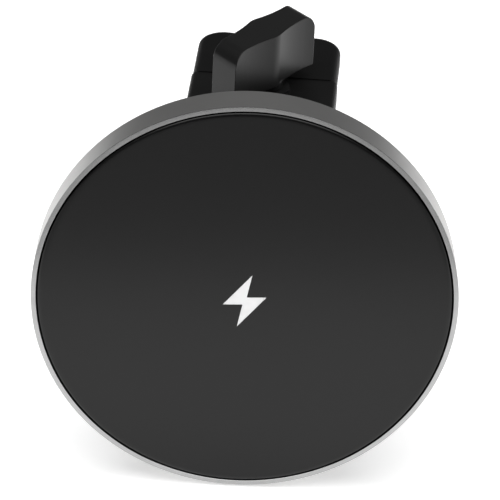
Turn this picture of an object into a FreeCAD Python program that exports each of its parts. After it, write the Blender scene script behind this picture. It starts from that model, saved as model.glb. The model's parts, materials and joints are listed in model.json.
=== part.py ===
import FreeCAD, Part
import math
import os
import re

import Sketcher
from FreeCAD import Placement, Rotation, Vector

# Magnetic charging phone mount for a car's air vent. A round glass-fronted head turns on a ball joint, and a
# screw clamp with a T-shaped knob holds the mount on one blade of the vent.
#
# The frame is the clamp's: the origin is the middle of the mouth, half way between the jaws at rest. +Z is up,
# +Y points out of the mouth towards the vent, and the head looks along -Y. The pieces of the head are drawn
# about the ball's centre with +Z out of the glass, and then carried to the ball by the head's placement.

os.makedirs("parts", exist_ok=True)
doc = FreeCAD.newDocument("vent_phone_mount")

DIMENSIONS = {
    # charging head: radii, and heights above the ball's centre
    "disc_radius": 30.0,
    "face_height": 17.0,
    "rim_depth": 5.6,
    "rim_taper": 0.16,
    "rim_chamfer": 0.06,
    "rim_bore_radius": 28.4,
    "seat_radius": 29.3,
    "seat_depth": 1.0,
    "glass_gap": 0.2,
    "glass_thickness": 1.0,
    "glass_bevel": 0.8,
    "glass_bevel_drop": 0.35,
    "tape_thickness": 0.2,
    "mark_height": 8.2,
    "mark_width": 6.2,
    "mark_depth": 0.12,
    "mark_sink": 0.04,
    "magnet_radius": 27.7,
    "magnet_bore": 23.2,
    "magnet_thickness": 1.2,
    "shunt_thickness": 0.4,
    "port_gap_degrees": 26.0,
    "coil_radius": 21.5,
    "coil_bore": 9.5,
    "coil_thickness": 0.95,
    "ferrite_radius": 22.1,
    "ferrite_thickness": 0.6,
    "carrier_floor": 0.8,
    "carrier_depth": 2.5,
    "board_radius": 22.0,
    "board_thickness": 0.8,
    "board_height": 11.5,
    "port_width": 8.94,
    "port_height": 3.16,
    "port_length": 7.3,
    "port_wall": 0.25,
    "port_setback": 0.75,
    "port_floor": 0.8,
    "port_clearance": 0.3,
    "tongue_length": 4.2,
    "tongue_width": 6.68,
    "tongue_thickness": 0.7,
    "board_tongue_width": 13.0,
    "board_tongue_reach": 26.0,
    "lead_hole_offset": 7.5,
    "lead_hole_radius": 1.6,
    "pad_radius": 11.0,
    "cover_shoulder": 7.4,
    "cover_spread": 8.7,
    "cover_floor": 9.5,
    "cover_inset": 0.9,
    "cover_lip": 0.7,
    "cup_backing": 10.5,
    "cup_backing_radius": 4.6,
    "cover_screw_circle": 25.2,
    "cover_screw_seat": 10.4,
    "cover_boss_radius": 1.9,
    "cover_hole_radius": 1.0,
    "cover_well_radius": 1.75,
    "carrier_hole_radius": 0.95,
    # ball joint
    "ball_radius": 8.5,
    "ball_play": 0.1,
    "cup_thickness": 0.8,
    "boss_radius": 12.5,
    "boss_back": 1.0,
    "thread_play": 0.05,
    "collar_radius": 15.0,
    "collar_front": 4.2,
    "collar_back": 6.5,
    "collar_bevel": 0.8,
    "collar_mouth_radius": 8.6,
    "flute_radius": 1.3,
    "flute_offset": 0.75,
    "neck_radius": 3.0,
    "flange_radius": 6.0,
    "peg_radius": 2.4,
    "ball_flat_drop": 0.7,
    "ball_flat_radius": 6.0,
    "stud_reach": 14.0,
    "stud_seat_depth": 2.2,
    "stud_screw_radius": 1.5,
    "screw_well_depth": 2.2,
    "washer_thickness": 0.4,
    # clamp
    "jaw_width": 21.5,
    "jaw_thickness": 4.2,
    "jaw_corner": 4.0,
    "mouth_depth": 15.7,
    "mouth_gap": 6.0,
    "sleeve_wall": 0.7,
    "plastic_inset": 0.12,
    "plastic_spread": 0.15,
    "screw_setback": 13.2,
    "screw_radius": 2.0,
    "screw_play": 0.05,
    "screw_reach": 12.6,
    "screw_point": 0.5,
    "clip_groove": 2.5,
    "clip_thickness": 0.6,
    "clip_radius": 3.6,
    "bush_radius": 3.2,
    "bush_flange_radius": 4.0,
    "bush_flange_thickness": 0.6,
    "bush_boss_radius": 4.2,
    "nut_radius": 3.0,
    "nut_reach": 9.8,
    "nut_boss_radius": 4.1,
    "nut_boss_reach": 13.0,
    "ball_setback": 37.65,
    "ball_drop": 5.8,
    "block_depth": 6.0,
    "block_bottom": 16.5,
    "block_corner": 3.0,
    "outer_bevel": 0.4,
    "top_round": 1.0,
    "end_plate_thickness": 1.2,
    "end_screw_spread": 3.6,
    "end_screw_setback": 2.4,
    "rail_offset": 6.0,
    "rail_reach": 10.6,
    "rail_width": 3.0,
    "rail_depth": 2.6,
    "rail_play": 0.25,
    "knob_half_length": 9.95,
    "knob_skew": 0.3,
    "knob_height": 8.3,
    "knob_neck": 2.35,
    "knob_flank_radius": 24.0,
    "knob_ridge_radius": 4.0,
    "knob_tip_radius": 2.6,
    "knob_edge": 0.25,
    "knob_lift": 1.9,
    "hub_radius": 3.0,
    "root_depth": 5.0,
    "root_swell": 0.3,
    "socket_play": 0.02,
}
HEAD_PAN_DEGREES = 3.4
HEAD_SPIN_DEGREES = -2.5
KNOB_TURN_DEGREES = 58.0
RIDGE_DEGREES = 13.0
MAGNET_COUNT = 18

sheet = doc.addObject("Spreadsheet::Sheet", "Dims")
for row, (alias, number) in enumerate(DIMENSIONS.items(), 1):
    sheet.set(f"A{row}", alias)
    sheet.set(f"B{row}", str(number))
    sheet.setAlias(f"B{row}", alias)
doc.recompute()

nodes = {}
head_place = Placement(
    Vector(0, -DIMENSIONS["ball_setback"], -DIMENSIONS["ball_drop"]),
    Rotation(Vector(0, 0, 1), HEAD_PAN_DEGREES)
    * Rotation(Vector(0, 1, 0), HEAD_SPIN_DEGREES)
    * Rotation(Vector(1, 0, 0), 90),
)
stud_place = Placement(head_place.Base, Rotation(Vector(1, 0, 0), 90))


# ---- helpers ---------------------------------------------------------------------------------------------
def bound(text):
    """The expression with each dimension's name pointed at its cell."""
    return re.sub(r"[a-z_]{3,}", lambda m: f"Dims.{m[0]}" if m[0] in DIMENSIONS else m[0], text)


def size(text):
    """The present value of an expression, in millimetres."""
    return float(sheet.evalExpression(bound(text)))


def keep(label, item, place=None):
    """Names a finished piece, puts it in place and lists it for export."""
    item.Label = label
    if place:
        item.Placement = place
    nodes[label] = item
    return item


def sketch_on(body, plane, name, stand_off="0"):
    """A sketch on one of the body's own planes, moved off it along the plane's normal."""
    sketch = body.newObject("Sketcher::SketchObject", name)
    support = next(f for f in body.Origin.OriginFeatures if f.Role == plane)
    sketch.AttachmentSupport = (support, [""])
    sketch.MapMode = "FlatFace"
    sketch.setExpression("AttachmentOffset.Base.z", bound(stand_off))
    return sketch


def hold_point(sketch, edge, end, across, up):
    """Holds one end of an edge at its distances from the sketch's axes."""
    for kind, axis, text in (("DistanceX", -2, across), ("DistanceY", -1, up)):
        if text == "0":
            sketch.addConstraint(Sketcher.Constraint("PointOnObject", edge, end, axis))
        else:
            held = sketch.addConstraint(Sketcher.Constraint(kind, -1, 1, edge, end, size(text)))
            sketch.setExpression(f"Constraints[{held}]", bound(text))


def polygon(sketch, corners):
    """Straight edges through the corners, each corner a pair of expressions."""
    first = sketch.GeometryCount
    spots = [Vector(size(x), size(y), 0) for x, y in corners]
    count = len(spots)
    for i in range(count):
        sketch.addGeometry(Part.LineSegment(spots[i], spots[(i + 1) % count]), False)
    for i, (x, y) in enumerate(corners):
        joined = (first + i, 2, first + (i + 1) % count, 1)
        sketch.addConstraint(Sketcher.Constraint("Coincident", *joined))
        hold_point(sketch, first + i, 1, x, y)


def rectangle(sketch, left, right, low, high):
    polygon(sketch, [(left, low), (right, low), (right, high), (left, high)])


def circle(sketch, x, y, radius):
    ring = Part.Circle(Vector(size(x), size(y), 0), Vector(0, 0, 1), size(radius))
    number = sketch.addGeometry(ring, False)
    hold_point(sketch, number, 3, x, y)
    held = sketch.addConstraint(Sketcher.Constraint("Radius", number, size(radius)))
    sketch.setExpression(f"Constraints[{held}]", bound(radius))


def stadium(sketch, x, y, width, height):
    """A slot with round ends that lies along the sketch's first axis."""
    radius = f"({height}) / 2"
    left, right = f"({x}) - ({width}) / 2 + {radius}", f"({x}) + ({width}) / 2 - {radius}"
    middle, r = size(y), size(radius)
    ends = []
    for centre, start in ((left, math.pi / 2), (right, -math.pi / 2)):
        around = Part.Circle(Vector(size(centre), middle, 0), Vector(0, 0, 1), r)
        ends.append(sketch.addGeometry(Part.ArcOfCircle(around, start, start + math.pi), False))
    for height_sign, (a, b) in ((-1, (left, right)), (1, (right, left))):
        level = middle + height_sign * r
        ends.append(sketch.addGeometry(
            Part.LineSegment(Vector(size(a), level, 0), Vector(size(b), level, 0)), False))
    cap_left, cap_right, under, over = ends
    for pair in ((cap_left, under), (under, cap_right), (cap_right, over), (over, cap_left)):
        sketch.addConstraint(Sketcher.Constraint("Tangent", pair[0], 2, pair[1], 1))
    for cap, centre in ((cap_left, left), (cap_right, right)):
        hold_point(sketch, cap, 3, centre, y)
        held = sketch.addConstraint(Sketcher.Constraint("Radius", cap, r))
        sketch.setExpression(f"Constraints[{held}]", bound(radius))


def extrude(body, kind, name, plane, stand_off, length, draw):
    """A Pad or Pocket that starts off the plane and runs along its normal. A pocket has to remove something."""
    sketch = sketch_on(body, plane, name + "_sketch", stand_off)
    draw(sketch)
    doc.recompute()
    before = body.Shape.Volume if body.Tip else 0.0
    feature = body.newObject("PartDesign::" + kind, name)
    feature.Profile = sketch
    feature.setExpression("Length", bound(length))
    feature.Reversed = kind == "Pocket"
    doc.recompute()
    if (body.Shape.Volume > before) != (kind == "Pad"):
        raise RuntimeError(f"{name} changed nothing")
    return feature


def new_body(name):
    return doc.addObject("PartDesign::Body", name)


def turned(name, corners):
    """A body turned about Z from a profile of (radius, height) corners."""
    body = new_body(name)
    sketch = sketch_on(body, "XZ_Plane", name + "_profile")
    polygon(sketch, corners)
    doc.recompute()
    revolution = body.newObject("PartDesign::Revolution", name + "_turned")
    revolution.Profile = sketch
    revolution.ReferenceAxis = (sketch, ["V_Axis"])
    revolution.Angle = 360
    doc.recompute()
    return body


def tube(name, radius, bore, low, high):
    return turned(name, [(bore, low), (radius, low), (radius, high), (bore, high)])


def dress(body, kind, name, amount, wanted):
    """A Fillet or Chamfer on every edge of the body's last shape that wanted() picks."""
    base = body.Tip
    edges = [f"Edge{i}" for i, edge in enumerate(base.Shape.Edges, 1) if wanted(edge)]
    feature = body.newObject("PartDesign::" + kind, name)
    feature.Base = (base, edges)
    feature.setExpression("Radius" if kind == "Fillet" else "Size", bound(amount))
    doc.recompute()
    return feature


def sphere(name, radius, low_latitude=-90, high_latitude=90):
    ball = doc.addObject("Part::Sphere", name)
    ball.setExpression("Radius", bound(radius))
    ball.Angle1 = low_latitude
    ball.Angle2 = high_latitude
    return ball


def cut(name, base, tool):
    result = doc.addObject("Part::Cut", name)
    result.Base = base
    result.Tool = tool
    doc.recompute()
    return result


def group(name, solids):
    """Identical pieces that share a node, each its own solid."""
    item = doc.addObject("Part::Feature", name)
    item.Shape = Part.makeCompound(solids)
    return item


def around(shape, count, first_degrees=0.0, sweep=360.0):
    """Copies of a shape spread about Z."""
    copies = []
    for i in range(count):
        copy = shape.copy()
        copy.rotate(Vector(0, 0, 0), Vector(0, 0, 1), first_degrees + i * sweep / count)
        copies.append(copy)
    return copies


def pan_screw(shank_radius, length, head_radius, head_height):
    """A screw with a domed head and a cross recess, seated at the origin with its shank down -Z."""
    dome_radius = (head_radius**2 + head_height**2) / (2 * head_height)
    dome = Part.makeSphere(dome_radius, Vector(0, 0, head_height - dome_radius))
    head = dome.common(Part.makeCylinder(head_radius, head_height))
    shank = Part.makeCylinder(shank_radius, length, Vector(0, 0, -length))
    slot_length, slot_width = head_radius * 1.1, shank_radius * 0.45
    corner = Vector(-slot_length / 2, -slot_width / 2, head_height * 0.45)
    slot = Part.makeBox(slot_length, slot_width, head_height, corner)
    screw = head.fuse(shank)
    for cross in around(slot, 2, 0, 180):
        screw = screw.cut(cross)
    return screw.removeSplitter()


def upright(edge):
    """True for a straight edge that runs along Z."""
    ends = [v.Point for v in edge.Vertexes]
    return len(ends) == 2 and abs(ends[0].x - ends[1].x) + abs(ends[0].y - ends[1].y) < 1e-6


def level_with(edge, height):
    """True for an edge that lies flat at that height."""
    return max(abs(edge.BoundBox.ZMin - size(height)), abs(edge.BoundBox.ZMax - size(height))) < 1e-6


# ---- charging head: rim, glass and mark ------------------------------------------------------------------
rim_back = "face_height - rim_depth"
seat = "face_height - seat_depth"
port_level = f"{rim_back} + 2.5"

bezel = turned("bezel_ring", [
    ("rim_bore_radius", rim_back),
    ("disc_radius - rim_taper", rim_back),
    ("disc_radius", "face_height - rim_chamfer"),
    ("disc_radius - rim_chamfer", "face_height"),
    ("seat_radius", "face_height"),
    ("seat_radius", seat),
    ("rim_bore_radius", seat),
])
extrude(bezel, "Pocket", "port_slot", "XZ_Plane", "disc_radius - 4", "6",
        lambda s: stadium(s, "0", port_level, "port_width + 0.5", "port_height + 0.34"))
keep("bezel_ring", bezel, head_place)

glass_back = f"{seat} + tape_thickness"
glass_front = f"{glass_back} + glass_thickness"
glass_edge = "seat_radius - glass_gap"
bevel_steps = 4


def glass_profile():
    """The pane's section: a flat face that falls away over the last stretch in an elliptical bevel."""
    corners = [("0", glass_back), (glass_edge, glass_back)]
    for i in range(bevel_steps + 1):
        angle = math.pi / 2 * i / bevel_steps
        across = f"{glass_edge} - glass_bevel * {1 - math.cos(angle):.5f}"
        down = f"{glass_front} - glass_bevel_drop * {1 - math.sin(angle):.5f}"
        corners.append((across, down))
    return corners + [("0", glass_front)]


def bolt_mark(sketch):
    """A plain lightning bolt, the usual sign for charging."""
    outline = [(0.36, 1.0), (-1.0, -0.14), (-0.10, -0.14), (-0.36, -1.0), (1.0, 0.14), (0.10, 0.14)]
    polygon(sketch, [(f"mark_width / 2 * {x}", f"mark_height / 2 * {y}") for x, y in outline])


glass = turned("front_glass", glass_profile())
extrude(glass, "Pocket", "mark_recess", "XY_Plane", f"{glass_front} - mark_depth", "mark_depth * 2",
        bolt_mark)
keep("front_glass", glass, head_place)

mark = new_body("charge_mark")
extrude(mark, "Pad", "mark_ink", "XY_Plane", f"{glass_front} - mark_depth", "mark_depth - mark_sink",
        bolt_mark)
keep("charge_mark", mark, head_place)

tape = tube("glass_tape", f"{glass_edge} - 0.1", "magnet_radius - 0.6", seat, glass_back)
keep("glass_tape", tape, head_place)

# ---- charging head: carrier, magnets and coil ------------------------------------------------------------
carrier_back = f"{seat} - carrier_depth"
well_floor = f"{carrier_back} + carrier_floor"


def port_opening(sketch, clearance, inner):
    """The way in for the charging plug: a slot open to the rim."""
    rectangle(sketch, f"-port_width / 2 - {clearance}", f"port_width / 2 + {clearance}",
              "-disc_radius", f"-({inner})")


def lead_hole(sketch):
    circle(sketch, "0", "-lead_hole_offset", "lead_hole_radius")


carrier = turned("coil_carrier", [
    ("0", carrier_back),
    ("rim_bore_radius - 0.1", carrier_back),
    ("rim_bore_radius - 0.1", seat),
    ("magnet_radius + 0.1", seat),
    ("magnet_radius + 0.1", well_floor),
    ("magnet_bore - 0.1", well_floor),
    ("magnet_bore - 0.1", seat),
    ("ferrite_radius + 0.2", seat),
    ("ferrite_radius + 0.2", well_floor),
    ("0", well_floor),
])
extrude(carrier, "Pocket", "port_notch", "XY_Plane", f"{carrier_back} - 1", "carrier_depth + 2",
        lambda s: port_opening(s, "port_clearance", "magnet_bore - 1.6"))
extrude(carrier, "Pocket", "lead_hole", "XY_Plane", f"{carrier_back} - 1", "carrier_floor + 2", lead_hole)
keep("coil_carrier", carrier, head_place)

gap = size("port_gap_degrees")
segment_sweep = (360 - gap) / MAGNET_COUNT
magnet_play_degrees = 0.7
shunt_top = f"{well_floor} + shunt_thickness"
segment = Part.makeCylinder(
    size("magnet_radius"), size("magnet_thickness"), Vector(0, 0, size(shunt_top)), Vector(0, 0, 1),
    segment_sweep - magnet_play_degrees)
segment = segment.cut(Part.makeCylinder(
    size("magnet_bore"), size("magnet_thickness"), Vector(0, 0, size(shunt_top))))
magnets = around(segment, MAGNET_COUNT, -90 + gap / 2, 360 - gap)
keep("ring_magnets", group("ring_magnets", magnets), head_place)

shunt = tube("magnet_shunt", "magnet_radius", "magnet_bore", well_floor, shunt_top)
extrude(shunt, "Pocket", "shunt_gap", "XY_Plane", f"{well_floor} - 1", "shunt_thickness + 2",
        lambda s: port_opening(s, "port_clearance * 2", "coil_bore"))
keep("magnet_shunt", shunt, head_place)

ferrite_top = f"{well_floor} + ferrite_thickness"
ferrite = turned("ferrite_sheet", [
    ("0", well_floor), ("ferrite_radius", well_floor), ("ferrite_radius", ferrite_top), ("0", ferrite_top)])
extrude(ferrite, "Pocket", "ferrite_port_flat", "XY_Plane", f"{well_floor} - 1", "ferrite_thickness + 2",
        lambda s: port_opening(s, "port_clearance", "coil_radius"))
extrude(ferrite, "Pocket", "ferrite_lead_hole", "XY_Plane", f"{well_floor} - 1", "ferrite_thickness + 2",
        lead_hole)
keep("ferrite_sheet", ferrite, head_place)

keep("charging_coil", tube("charging_coil", "coil_radius - 0.4", "coil_bore", ferrite_top,
                           f"{ferrite_top} + coil_thickness"), head_place)

thermistor = new_body("coil_thermistor")
extrude(thermistor, "Pad", "thermistor_bead", "XY_Plane", ferrite_top, "0.7",
        lambda s: stadium(s, "0", "0", "3.2", "1.5"))
keep("coil_thermistor", thermistor, head_place)

# ---- charging head: electronics --------------------------------------------------------------------------
board_top = "board_height + board_thickness"
board = new_body("circuit_board")
extrude(board, "Pad", "board_disc", "XY_Plane", "board_height", "board_thickness",
        lambda s: circle(s, "0", "0", "board_radius"))
extrude(board, "Pad", "board_tongue", "XY_Plane", "board_height", "board_thickness",
        lambda s: rectangle(s, "-board_tongue_width / 2", "board_tongue_width / 2",
                            "-board_tongue_reach", "-15"))
keep("circuit_board", board, head_place)

pad = turned("thermal_pad", [
    ("0", board_top), ("pad_radius", board_top), ("pad_radius", carrier_back), ("0", carrier_back)])
keep("thermal_pad", pad, head_place)

port_back = "disc_radius - port_setback - port_length"
socket = new_body("usb_socket")
extrude(socket, "Pad", "shell_outside", "XZ_Plane", port_back, "port_length",
        lambda s: stadium(s, "0", port_level, "port_width", "port_height"))
extrude(socket, "Pocket", "shell_mouth", "XZ_Plane", f"{port_back} + port_floor", "port_length",
        lambda s: stadium(s, "0", port_level, "port_width - 2 * port_wall", "port_height - 2 * port_wall"))
keep("usb_socket", socket, head_place)

tongue = new_body("usb_tongue")
extrude(tongue, "Pad", "tongue_base", "XZ_Plane", f"{port_back} + port_floor", "port_floor * 2",
        lambda s: stadium(s, "0", port_level, "port_width - 2 * port_wall", "port_height - 2 * port_wall"))
extrude(tongue, "Pad", "tongue_blade", "XZ_Plane", f"{port_back} + port_floor * 2.75", "tongue_length",
        lambda s: rectangle(s, "-tongue_width / 2", "tongue_width / 2",
                            f"{port_level} - tongue_thickness / 2", f"{port_level} + tongue_thickness / 2"))
keep("usb_tongue", tongue, head_place)


def chip(across, deep, tall, x, y, turn=0):
    """A block-shaped component on the board's back face, centred at x, y."""
    block = Part.makeBox(across, deep, tall, Vector(-across / 2, -deep / 2, size("board_height") - tall))
    block.rotate(Vector(0, 0, 0), Vector(0, 0, 1), turn)
    block.translate(Vector(x, y, 0))
    return block


controller = chip(5.0, 5.0, 0.9, -11.0, 6.0)
keep("charge_controller", group("charge_controller", [controller]), head_place)
inductors = [chip(4.0, 4.0, 1.5, x, -11.0) for x in (-6.5, 6.5)]
keep("power_inductors", group("power_inductors", inductors), head_place)
capacitors = [chip(3.2, 2.5, 1.4, 12.0, 9.0 - 3.4 * i) for i in range(4)]
keep("resonance_capacitors", group("resonance_capacitors", capacitors), head_place)
switches = [chip(3.0, 3.0, 0.8, -3.0 + 4.2 * i, 13.5) for i in range(3)]
keep("power_switches", group("power_switches", switches), head_place)

# ---- charging head: rear cover with the ball's socket ----------------------------------------------------
socket_radius = "ball_radius + ball_play * 2 + cup_thickness"
cover = turned("rear_cover", [
    ("0", "0"),
    (socket_radius, "0"),
    (socket_radius, "-boss_back"),
    ("boss_radius", "-boss_back"),
    ("boss_radius", "cover_shoulder"),
    ("boss_radius + 1.8", "cover_shoulder"),
    ("boss_radius + 2.6", "cover_shoulder + 0.8"),
    ("disc_radius - 5.6", "cover_spread"),
    ("disc_radius - 2.4", "cover_spread + 1"),
    ("disc_radius - cover_inset", f"{rim_back} - 0.5"),
    ("disc_radius - cover_inset", rim_back),
    ("rim_bore_radius - 0.1", rim_back),
    ("rim_bore_radius - 0.1", f"{rim_back} + cover_lip"),
    ("rim_bore_radius - 1.3", f"{rim_back} + cover_lip"),
    ("rim_bore_radius - 1.3", "cover_floor + 1.4"),
    ("disc_radius - 5.8", "cover_floor + 0.6"),
    ("boss_radius + 1.5", "cover_floor"),
    ("cup_backing_radius", "cover_floor"),
    ("cup_backing_radius", "cup_backing"),
    ("0", "cup_backing"),
])
hollow = cover.newObject("PartDesign::SubtractiveSphere", "ball_socket")
hollow.setExpression("Radius", bound(socket_radius))
doc.recompute()
boss_angles = (45, 135, 225, 315)


def cover_bosses(sketch, radius):
    for angle in boss_angles:
        x, y = math.cos(math.radians(angle)), math.sin(math.radians(angle))
        circle(sketch, f"cover_screw_circle * {x:.6f}", f"cover_screw_circle * {y:.6f}", radius)


extrude(cover, "Pad", "screw_bosses", "XY_Plane", "cover_screw_seat - 0.5",
        f"{carrier_back} - cover_screw_seat + 0.5", lambda s: cover_bosses(s, "cover_boss_radius"))
extrude(cover, "Pocket", "screw_holes", "XY_Plane", "0", "face_height",
        lambda s: cover_bosses(s, "cover_hole_radius"))
extrude(cover, "Pocket", "screw_wells", "XY_Plane", "0", "cover_screw_seat",
        lambda s: cover_bosses(s, "cover_well_radius"))
keep("rear_cover", cover, head_place)

cover_screw = pan_screw(0.95, 3.6, 1.65, 0.9)
cover_screw.rotate(Vector(0, 0, 0), Vector(1, 0, 0), 180)
cover_screw.translate(Vector(size("cover_screw_circle"), 0, size("cover_screw_seat")))
keep("cover_screws", group("cover_screws", around(cover_screw, len(boss_angles), 45)), head_place)

# The screws bite into plain holes in the carrier.
extrude(carrier, "Pocket", "carrier_screw_holes", "XY_Plane", f"{carrier_back} - 1", "1 + 0.6",
        lambda s: cover_bosses(s, "carrier_hole_radius"))

# ---- ball joint ------------------------------------------------------------------------------------------
cup_outside = "ball_radius + ball_play + cup_thickness"
cup = cut("cup_shell", sphere("cup_zone", cup_outside, 20, 78), sphere("cup_inside", "ball_radius + ball_play"))
keep("friction_cup", cup, head_place)

seat_ring = cut("seat_shell", sphere("seat_zone", cup_outside, -33, -10),
                sphere("seat_inside", "ball_radius + ball_play"))
keep("seat_ring", seat_ring, head_place)

collar = turned("collar_nut", [
    ("boss_radius + thread_play", "collar_front"),
    ("boss_radius + thread_play", "-boss_back - 0.3"),
    ("collar_mouth_radius - 2.6", "-boss_back - 0.3"),
    ("collar_mouth_radius", "-collar_back"),
    ("collar_radius - collar_bevel * 2", "-collar_back"),
    ("collar_radius - collar_bevel * 0.75", "-collar_back + 0.9"),
    ("collar_radius", "-collar_back + 1.9"),
    ("collar_radius", "collar_front - collar_bevel"),
    ("collar_radius - collar_bevel", "collar_front"),
])
collar_hollow = collar.newObject("PartDesign::SubtractiveSphere", "seat_hollow")
collar_hollow.setExpression("Radius", bound(socket_radius))
doc.recompute()
flute = extrude(collar, "Pocket", "grip_flute", "XY_Plane", "-collar_back + 2.1", "10",
                lambda s: circle(s, "collar_radius + flute_offset", "0", "flute_radius"))
flutes = collar.newObject("PartDesign::PolarPattern", "grip_flutes")
flutes.Originals = [flute]
flutes.Axis = (flute.Profile[0], ["N_Axis"])
flutes.Angle = 360
flutes.Occurrences = 24
collar.Tip = flutes
doc.recompute()
keep("collar_nut", collar, head_place)

stud = turned("ball_stud", [
    ("0", "-stud_reach - stud_seat_depth"),
    ("peg_radius", "-stud_reach - stud_seat_depth"),
    ("peg_radius", "-stud_reach"),
    ("flange_radius", "-stud_reach"),
    ("flange_radius", "-stud_reach + 1"),
    ("neck_radius + 0.8", "-stud_reach + 1.8"),
    ("neck_radius", "-stud_reach + 3.2"),
    ("neck_radius", "1.5 - ball_radius"),
    ("0", "1.5 - ball_radius"),
])
ball = stud.newObject("PartDesign::AdditiveSphere", "ball")
ball.setExpression("Radius", bound("ball_radius"))
doc.recompute()
extrude(stud, "Pocket", "ball_flat", "XY_Plane", "ball_radius - ball_flat_drop", "1",
        lambda s: circle(s, "0", "0", "ball_flat_radius"))
extrude(stud, "Pocket", "stud_screw_hole", "XY_Plane", "-stud_reach - 3", "8",
        lambda s: circle(s, "0", "0", "stud_screw_radius"))
keep("ball_stud", stud, stud_place)

stud_back = "-stud_reach - block_depth"
washer_back = f"{stud_back} + screw_well_depth - washer_thickness"
stud_screw = pan_screw(size("stud_screw_radius"), 6.0, 2.75, 1.6)
stud_screw.rotate(Vector(0, 0, 0), Vector(1, 0, 0), 180)
stud_screw.translate(Vector(0, 0, size(washer_back)))
keep("stud_screw", group("stud_screw", [stud_screw]), stud_place)
washer = tube("stud_washer", "stud_screw_radius + 1.6", "stud_screw_radius + 0.1",
              washer_back, f"{washer_back} + washer_thickness")
keep("stud_washer", washer, stud_place)

# ---- clamp: jaw outlines ---------------------------------------------------------------------------------
front_y = "-ball_setback + stud_reach"
block_back_y = f"{front_y} + block_depth"
sleeve_front_y = "-mouth_depth / 2"
jaw_top = "mouth_gap / 2 + jaw_thickness"
plastic_half = "jaw_width / 2 + plastic_spread"


def jaw_outline(sketch, inset):
    """The end of a jaw seen from above, with round corners and a far edge that swells in the middle."""
    half, corner = size("jaw_width") / 2 - inset, size("jaw_corner") - inset
    near, far = size(sleeve_front_y), size("mouth_depth") / 2 - 0.15 - inset
    left, right = -half + corner, half - corner
    swell, dip = 0.2, -0.25
    edge = Part.BSplineCurve()
    edge.interpolate(
        Points=[Vector(right, far, 0), Vector(right - 2.2, far + dip, 0), Vector(0, far + swell, 0),
                Vector(left + 2.2, far + dip, 0), Vector(left, far, 0)],
        InitialTangent=Vector(-1, 0, 0), FinalTangent=Vector(-1, 0, 0))
    axis = Vector(0, 0, 1)
    corners = [
        Part.ArcOfCircle(Part.Circle(Vector(right, far - corner, 0), axis, corner), 0, math.pi / 2),
        Part.ArcOfCircle(Part.Circle(Vector(left, far - corner, 0), axis, corner), math.pi / 2, math.pi),
    ]
    path = [Vector(-half, far - corner, 0), Vector(-half, near, 0), Vector(half, near, 0),
            Vector(half, far - corner, 0)]
    for start, end in zip(path, path[1:]):
        sketch.addGeometry(Part.LineSegment(start, end), False)
    for piece in (corners[0], edge, corners[1]):
        sketch.addGeometry(piece, False)


def jaw_core(body, name, low):
    """The stretch of a jaw that the sleeve covers."""
    extrude(body, "Pad", name, "XY_Plane", low, "jaw_thickness - 2 * sleeve_wall",
            lambda s: jaw_outline(s, size("sleeve_wall")))


def sleeve(label, low, grip_low):
    """A rubber sleeve over the end of a jaw, with cross grooves on its gripping face."""
    body = new_body(label)
    extrude(body, "Pad", label + "_skin", "XY_Plane", low, "jaw_thickness", lambda s: jaw_outline(s, 0.0))
    dress(body, "Fillet", label + "_soft_edges", "1.3",
          lambda e: not upright(e) and e.BoundBox.YMin > size(sleeve_front_y) - 0.01
          and e.BoundBox.YMax > size(sleeve_front_y) + 0.01)
    extrude(body, "Pocket", label + "_pocket", "XY_Plane", f"{low} + sleeve_wall",
            "jaw_thickness - 2 * sleeve_wall", lambda s: jaw_outline(s, size("sleeve_wall")))
    for i in range(5):
        y = f"{-5.4 + 2.5 * i}"
        extrude(body, "Pocket", f"{label}_groove_{i + 1}", "XY_Plane", grip_low, "0.7",
                lambda s, y=y: rectangle(s, "-8.4", "8.4", f"{y} - 0.45", f"{y} + 0.45"))
    return keep(label, body)


# ---- clamp: clip body with the fixed upper jaw -----------------------------------------------------------
clip = new_body("clip_body")
extrude(clip, "Pad", "block", "XY_Plane", "-block_bottom", f"block_bottom + {jaw_top} - plastic_inset",
        lambda s: rectangle(s, f"-({plastic_half})", plastic_half, front_y, block_back_y))
dress(clip, "Fillet", "block_corners", "block_corner",
      lambda e: upright(e) and e.BoundBox.YMax < size(front_y) + 0.1)
extrude(clip, "Pad", "upper_jaw", "XY_Plane", "mouth_gap / 2 + plastic_inset",
        "jaw_thickness - 2 * plastic_inset",
        lambda s: rectangle(s, f"-({plastic_half})", plastic_half, f"{block_back_y} - 1", sleeve_front_y))
dress(clip, "Fillet", "top_round", "top_round",
      lambda e: level_with(e, f"{jaw_top} - plastic_inset") and e.BoundBox.YMin < size(sleeve_front_y) - 0.1)
jaw_core(clip, "upper_jaw_core", "mouth_gap / 2 + sleeve_wall")
screw_y = "-screw_setback"
extrude(clip, "Pad", "bush_boss", "XY_Plane", f"{jaw_top} - plastic_inset - 0.5", "plastic_inset + 0.8",
        lambda s: circle(s, "0", screw_y, "bush_boss_radius"))
extrude(clip, "Pocket", "bush_bore", "XY_Plane", "mouth_gap / 2", "8",
        lambda s: circle(s, "0", screw_y, "bush_radius"))
for side in (-1, 1):
    near_x = f"{side} * (rail_offset - rail_play)"
    far_x = f"{side} * (rail_offset + rail_width + rail_play)"
    low_x, high_x = (near_x, far_x) if side > 0 else (far_x, near_x)
    extrude(clip, "Pocket", "rail_slot_right" if side > 0 else "rail_slot_left", "XY_Plane",
            "-block_bottom - 1", "block_bottom + 2.5",
            lambda s: rectangle(s, low_x, high_x, f"{block_back_y} - rail_depth - rail_play",
                                f"{block_back_y} + 1"))
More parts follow.
